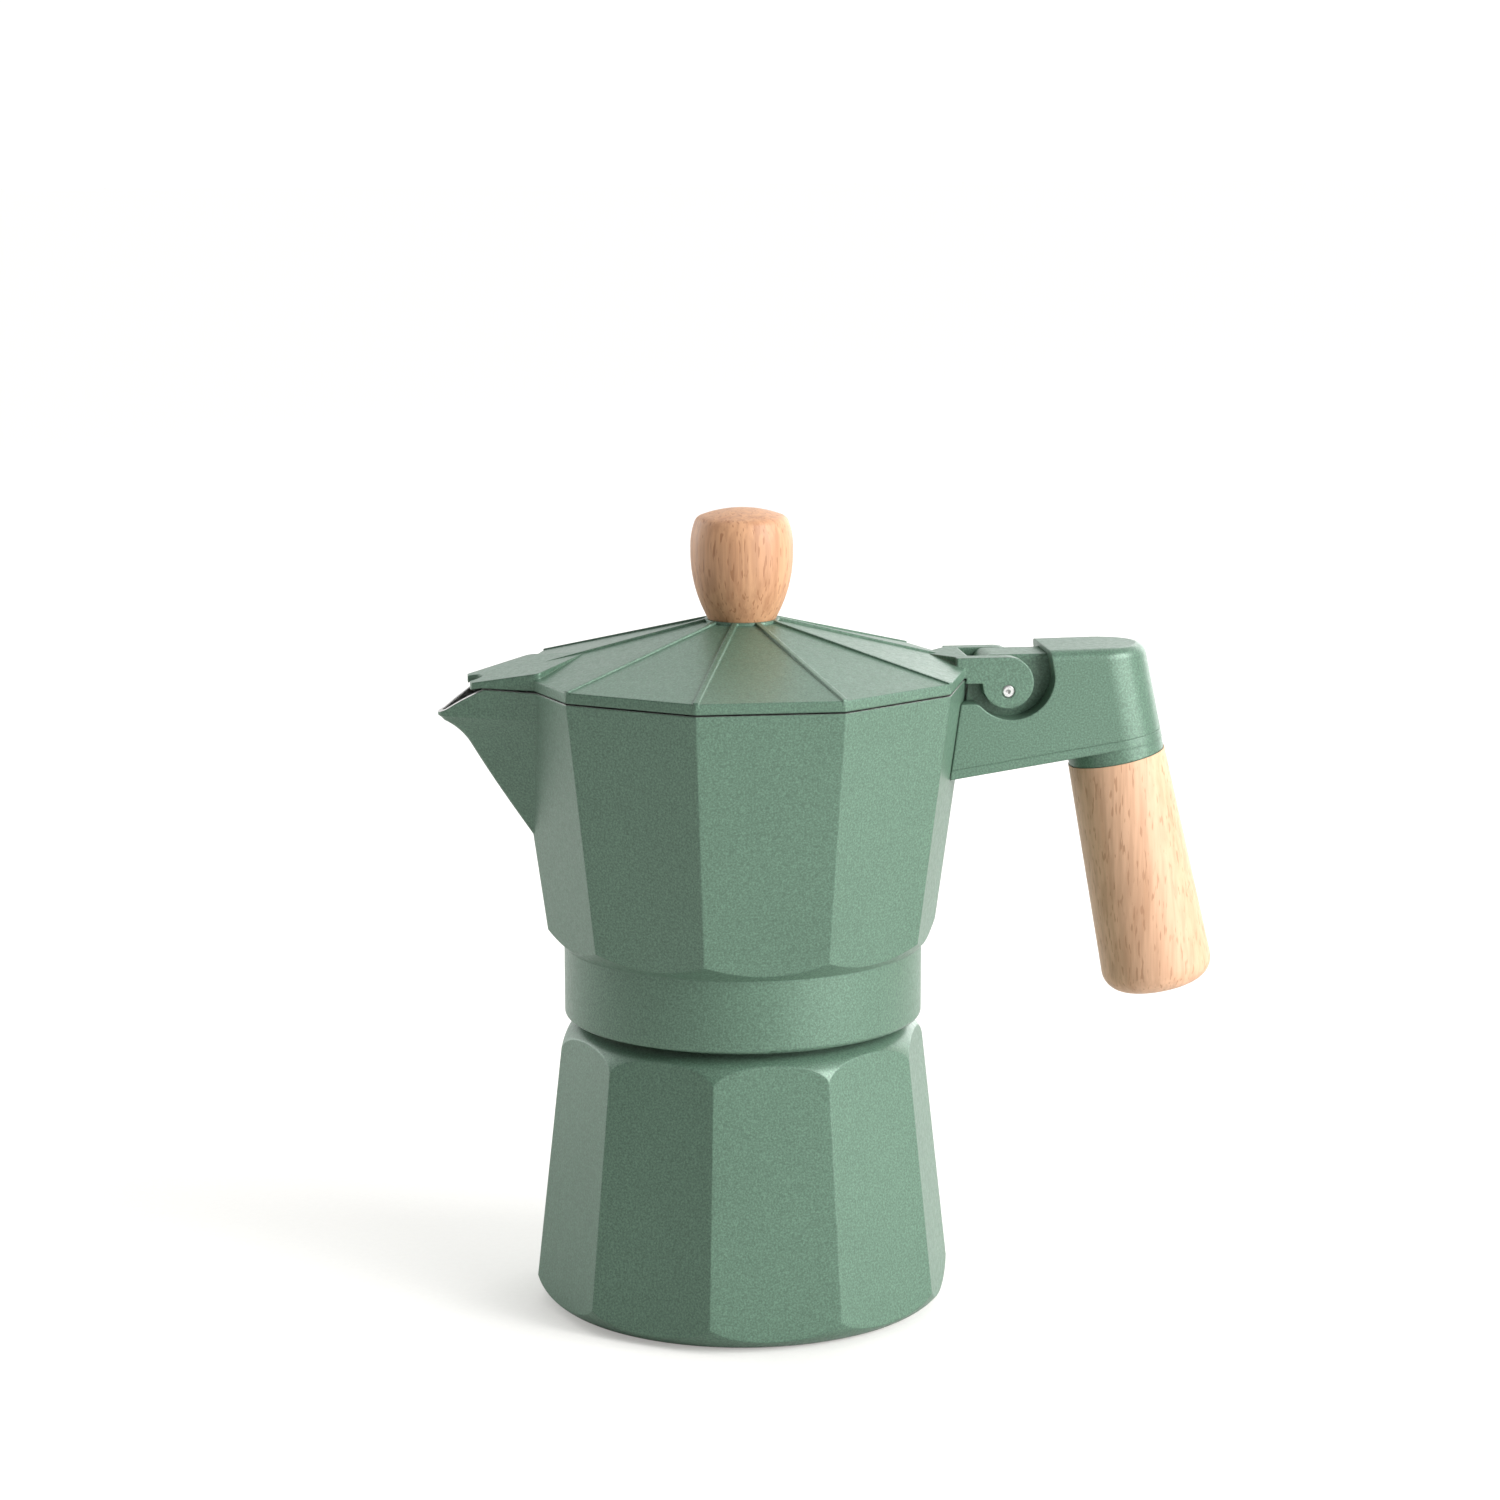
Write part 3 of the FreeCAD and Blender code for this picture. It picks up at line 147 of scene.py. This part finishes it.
class Casting:
    """Where a point lies on a casting and which way its surface faces, for choosing its finish."""

    def __init__(self, m):
        self.m = m
        source = m.add("TexCoord")
        self.x, self.y, self.z = m.axes(source.outputs["Object"])
        normal_x, normal_y, self.up = m.axes(source.outputs["Normal"])
        squares = m.calc("ADD", m.calc("MULTIPLY", self.x, self.x), m.calc("MULTIPLY", self.y, self.y))
        self.radius = m.calc("SQRT", squares)
        lean = m.calc("ADD", m.calc("MULTIPLY", self.x, normal_x), m.calc("MULTIPLY", self.y, normal_y))
        self.outward = m.calc("DIVIDE", lean, m.calc("MAXIMUM", self.radius, 1e-5))

    def above(self, value, limit):
        return self.m.calc("GREATER_THAN", value, limit)

    def below(self, value, limit):
        return self.m.calc("LESS_THAN", value, limit)

    def every(self, first, *others):
        for other in others:
            first = self.m.calc("MULTIPLY", first, other)
        return first

    def some(self, first, *others):
        for other in others:
            first = self.m.calc("MAXIMUM", first, other)
        return first


def boiler_bare(c):
    """Inside walls and floor, the machined neck and the turned underside."""
    return c.some(c.below(c.outward, -0.2),
                  c.above(c.z, SHOULDER + 0.0002),
                  c.every(c.above(c.up, 0.5), c.below(c.z, BOILER_FLOOR_BAND),
                          c.below(c.radius, BOILER_INNER_RADIUS)),
                  c.every(c.below(c.up, -0.9), c.below(c.z, FOOT_BAND)))


def chamber_bare(c):
    """Everything inside, the column, the pouring lip and the rim."""
    inside = c.every(c.above(c.z, CHAMBER_FLOOR),
                     c.some(c.above(c.up, 0.2), c.below(c.radius, COLUMN_REACH)))
    below = c.every(c.below(c.up, -0.2), c.below(c.radius, COLLAR_BORE))
    return c.every(c.some(c.below(c.outward, -0.2), inside, below), c.below(c.x, LUG_START))


def lid_bare(c):
    """The underside and the inside of the skirt, up to the ears."""
    skirt = c.every(c.below(c.outward, -0.25), c.below(c.z, RIM + SKIRT_DEPTH))
    under = c.some(skirt, c.below(c.up, -0.35))
    return c.every(under, c.below(c.x, EAR_START))


def painted(name, colour, bare=None):
    """Satin paint with a fine metallic fleck over cast aluminium, which is bare where it is machined."""
    m = Nodes(name)
    where = m.coords()
    fleck = m.ramp(m.noise(where, 2600, 3.0, 0.65),
                   [(0.34, shade(colour, 0.74)), (0.5, shade(colour, 0.98)), (0.68, shade(colour, 1.34))])
    cloud = m.ramp(m.noise(where, 60, 3.0), [(0.3, grey(0.955)), (0.7, grey(1.0))])
    tone = m.mix(1.0, fleck, cloud, "MULTIPLY")
    rough = m.ramp(m.noise(where, 900, 2.0), [(0.3, grey(0.34)), (0.7, grey(0.44))])
    edge = m.add("Bevel", samples=6)
    edge.inputs["Radius"].default_value = 0.0005
    cast = m.bump(m.noise(where, 130, 2.0), 0.10, 0.0006, edge.outputs["Normal"])
    grain = m.bump(m.noise(where, 1900, 2.0, 0.6), 0.10, 0.0002, cast)
    metallic = None
    if bare is not None:
        c = Casting(m)
        share = bare(c)
        rings = m.add("CombineXYZ")
        for value, target in zip((c.radius, c.z), rings.inputs):
            m.link(value, target)
        marks = m.noise(rings.outputs["Vector"], 1400, 3.0, 0.6)
        worked = m.ramp(marks, [(0.3, (0.50, 0.50, 0.49)), (0.7, (0.68, 0.68, 0.66))])
        tone = m.mix(share, tone, m.mix(1.0, worked, cloud, "MULTIPLY"))
        rough = m.mix(share, rough, m.ramp(marks, [(0.3, grey(0.36)), (0.7, grey(0.50))]))
        metallic = m.calc("ADD", m.calc("MULTIPLY", share, 0.75), 0.2)
    m.set(Metallic=0.2, IOR=1.5)
    m.shader.inputs["Coat Weight"].default_value = 0.12
    m.shader.inputs["Coat Roughness"].default_value = 0.25
    return m.finish(grain, tone, rough, metallic)


def metal(name, colour, rough_low, rough_high, scale=400):
    """Bare metal with fine tool marks."""
    m = Nodes(name)
    where = m.coords()
    marks = m.noise(m.coords((1, 1, 6)), scale, 3.0)
    tone = m.ramp(marks, [(0.3, shade(colour, 0.86)), (0.7, shade(colour, 1.05))])
    rough = m.ramp(m.noise(where, scale * 0.4, 3.0), [(0.3, grey(rough_low)), (0.7, grey(rough_high))])
    normal = m.bump(marks, 0.15, 0.0002)
    m.set(Metallic=1.0)
    return m.finish(normal, tone, rough)


def beech(name, light, dark, fleck, turn=(0, 0, 0), centre=(0, 0, 0)):
    """Turned beech: soft growth bands, short dark rays along the grain and a waxed sheen."""
    m = Nodes(name)
    along = m.coords((1, 1, 0.09), turn, centre)
    bands = m.noise(along, 240, 4.0, 0.6, 0.6)
    tone = m.ramp(bands, [(0.34, dark), (0.50, shade(light, 0.93)), (0.66, light)])
    streak = m.noise(m.coords((1, 1, 0.05), turn, centre), 900, 2.0, 0.6)
    tone = m.mix(0.45, tone, m.ramp(streak, [(0.38, shade(dark, 0.85)), (0.58, light)]))
    ray = m.noise(m.coords((1, 1, 0.15), turn, centre), 1900, 1.0, 0.4)
    rays = m.ramp(ray, [(0.62, grey(0)), (0.69, grey(0.8))])
    tone = m.mix(rays, tone, fleck)
    rough = m.ramp(streak, [(0.3, grey(0.42)), (0.7, grey(0.56))])
    normal = m.bump(streak, 0.12, 0.0003)
    normal = m.bump(rays, 0.25, -0.0001, normal)
    m.set(IOR=1.46)
    return m.finish(normal, tone, rough)


def rubber(name, colour):
    m = Nodes(name)
    where = m.coords()
    tone = m.ramp(m.noise(where, 700, 2.0), [(0.3, shade(colour, 0.92)), (0.7, colour)])
    return m.finish(m.bump(m.noise(where, 2500, 2.0), 0.1, 0.0001), tone,
                    m.ramp(m.noise(where, 500, 2.0), [(0.3, grey(0.55)), (0.7, grey(0.68))]))


boiler_paint = painted("boiler_paint", PAINT, boiler_bare)
chamber_paint = painted("chamber_paint", PAINT, chamber_bare)
lid_paint = painted("lid_paint", PAINT, lid_bare)
bracket_paint = painted("bracket_paint", PAINT)
aluminium = metal("bare_aluminium", (0.72, 0.72, 0.71, 1), 0.28, 0.42)
brass = metal("valve_brass", (0.66, 0.47, 0.20, 1), 0.25, 0.38)
steel = metal("screw_steel", (0.56, 0.56, 0.57, 1), 0.24, 0.36)
seal = rubber("seal_rubber", (0.72, 0.70, 0.63, 1))
grip_wood = beech("grip_wood", (0.665, 0.405, 0.258, 1), (0.54, 0.305, 0.18, 1), (0.42, 0.225, 0.125, 1),
                  (0, GRIP_TILT, 0))
knob_wood = beech("knob_wood", (0.61, 0.335, 0.185, 1), (0.46, 0.225, 0.118, 1), (0.36, 0.165, 0.08, 1))

FINISH = {
    boiler_paint: ("boiler",),
    chamber_paint: ("upper_chamber",),
    lid_paint: ("lid",),
    bracket_paint: ("handle_bracket", "bracket_cover"),
    aluminium: ("funnel_basket", "funnel_stem", "funnel_screen", "filter_plate", "hinge_pin"),
    brass: ("valve_body", "valve_cap", "valve_poppet", "knob_insert", "grip_insert", "bracket_insert"),
    steel: ("valve_spring", "knob_screw", "bracket_screw", "grip_stud", "knob_washer", "valve_washer"),
    seal: ("gasket",),
    grip_wood: ("handle_grip",),
    knob_wood: ("lid_knob",),
}
for material, names in FINISH.items():
    for name in names:
        mesh = nodes[name].data
        if mesh.materials:
            nodes[name].material_slots[0].material = material
        else:
            mesh.materials.append(material)


# ---------------------------------------------------------------- floor, light and camera

def floor():
    """A pale paper floor.  It adds a little light towards the camera only, so that it shows white."""
    mesh = bpy.data.meshes.new("floor")
    half, level = 6.0, -0.0001
    corners = [(-half, -half, level), (half, -half, level), (half, half, level), (-half, half, level)]
    mesh.from_pydata(corners, [], [(0, 1, 2, 3)])
    obj = bpy.data.objects.new("floor", mesh)
    scene.collection.objects.link(obj)
    m = Nodes("floor_paper")
    where = m.coords()
    tone = m.ramp(m.noise(where, 800, 2.0), [(0.3, (0.66, 0.655, 0.64)), (0.7, (0.68, 0.675, 0.66))])
    m.set(Roughness=0.9)
    m.shader.inputs["Specular IOR Level"].default_value = 0.1
    m.shader.inputs["Emission Color"].default_value = (1.0, 0.985, 0.955, 1)
    seen = m.add("LightPath").outputs["Is Camera Ray"]
    m.link(m.calc("MULTIPLY", seen, FLOOR_GLOW), m.shader.inputs["Emission Strength"])
    mesh.materials.append(m.finish(None, tone))


def area(name, size, power, place, target):
    data = bpy.data.lights.new(name, "AREA")
    data.shape = "RECTANGLE"
    data.size, data.size_y = size
    data.energy = power
    lamp = bpy.data.objects.new(name, data)
    lamp.location = place
    lamp.rotation_euler = (Vector(target) - Vector(place)).to_track_quat("-Z", "Y").to_euler()
    scene.collection.objects.link(lamp)


def sun(name, direction, strength, angle):
    data = bpy.data.lights.new(name, "SUN")
    data.energy = strength
    data.angle = math.radians(angle)
    lamp = bpy.data.objects.new(name, data)
    lamp.rotation_euler = Vector(direction).to_track_quat("Z", "Y").to_euler()
    scene.collection.objects.link(lamp)


def surround(seen, front, behind, right, top):
    """White where the camera looks.  The pot is lit from behind, the right and above."""
    world = bpy.data.worlds.new("studio")
    world.use_nodes = True
    tree = world.node_tree

    def node(kind, **settings):
        made = tree.nodes.new("ShaderNode" + kind)
        for key, value in settings.items():
            setattr(made, key, value)
        return made

    axes = node("SeparateXYZ")
    tree.links.new(node("TexCoord").outputs["Generated"], axes.inputs[0])
    total = None
    spans = (("Y", -0.2, 0.7, behind), ("X", 0.0, 0.9, right), ("Z", 0.2, 1.0, top))
    for axis, low, high, strength in spans:
        span = node("MapRange", interpolation_type="SMOOTHSTEP")
        tree.links.new(axes.outputs[axis], span.inputs["Value"])
        span.inputs["From Min"].default_value = low
        span.inputs["From Max"].default_value = high
        span.inputs["To Max"].default_value = strength
        step = node("Math", operation="ADD")
        tree.links.new(span.outputs["Result"], step.inputs[0])
        if total is None:
            step.inputs[1].default_value = front
        else:
            tree.links.new(total, step.inputs[1])
        total = step.outputs[0]
    mix = node("Mix")
    tree.links.new(node("LightPath").outputs["Is Camera Ray"], mix.inputs[0])
    tree.links.new(total, mix.inputs[2])
    mix.inputs[3].default_value = seen
    back = tree.nodes["Background"]
    tree.links.new(mix.outputs[0], back.inputs["Strength"])
    back.inputs["Color"].default_value = (1, 1, 1, 1)
    scene.world = world


floor()
surround(1.08, 0.04, 0.98, 0.42, 0.46)
sun("key", (0.84, -0.54, 0.50), 2.1, 36)
area("near_key", (0.55, 0.55), 4.4, (0.46, -0.42, 0.28), (0.05, 0, 0.10))
area("left_panel", (0.9, 0.9), 7, (-0.95, 0.75, 0.35), (0, 0, 0.08))
area("right_panel", (0.9, 0.9), 6, (0.75, 0.95, 0.30), (0, 0, 0.08))

camera_data = bpy.data.cameras.new("camera")
camera_data.sensor_width = 36.0
camera_data.lens = 95.2
camera_data.clip_end = 50
camera = bpy.data.objects.new("camera", camera_data)
camera.location = (-0.09829, -0.7917, 0.25974)
camera.rotation_euler = Euler([math.radians(a) for a in (79.70, 0.13, -7.2144)], "XYZ")
scene.collection.objects.link(camera)
scene.camera = camera
scene.view_settings.view_transform = "Standard"
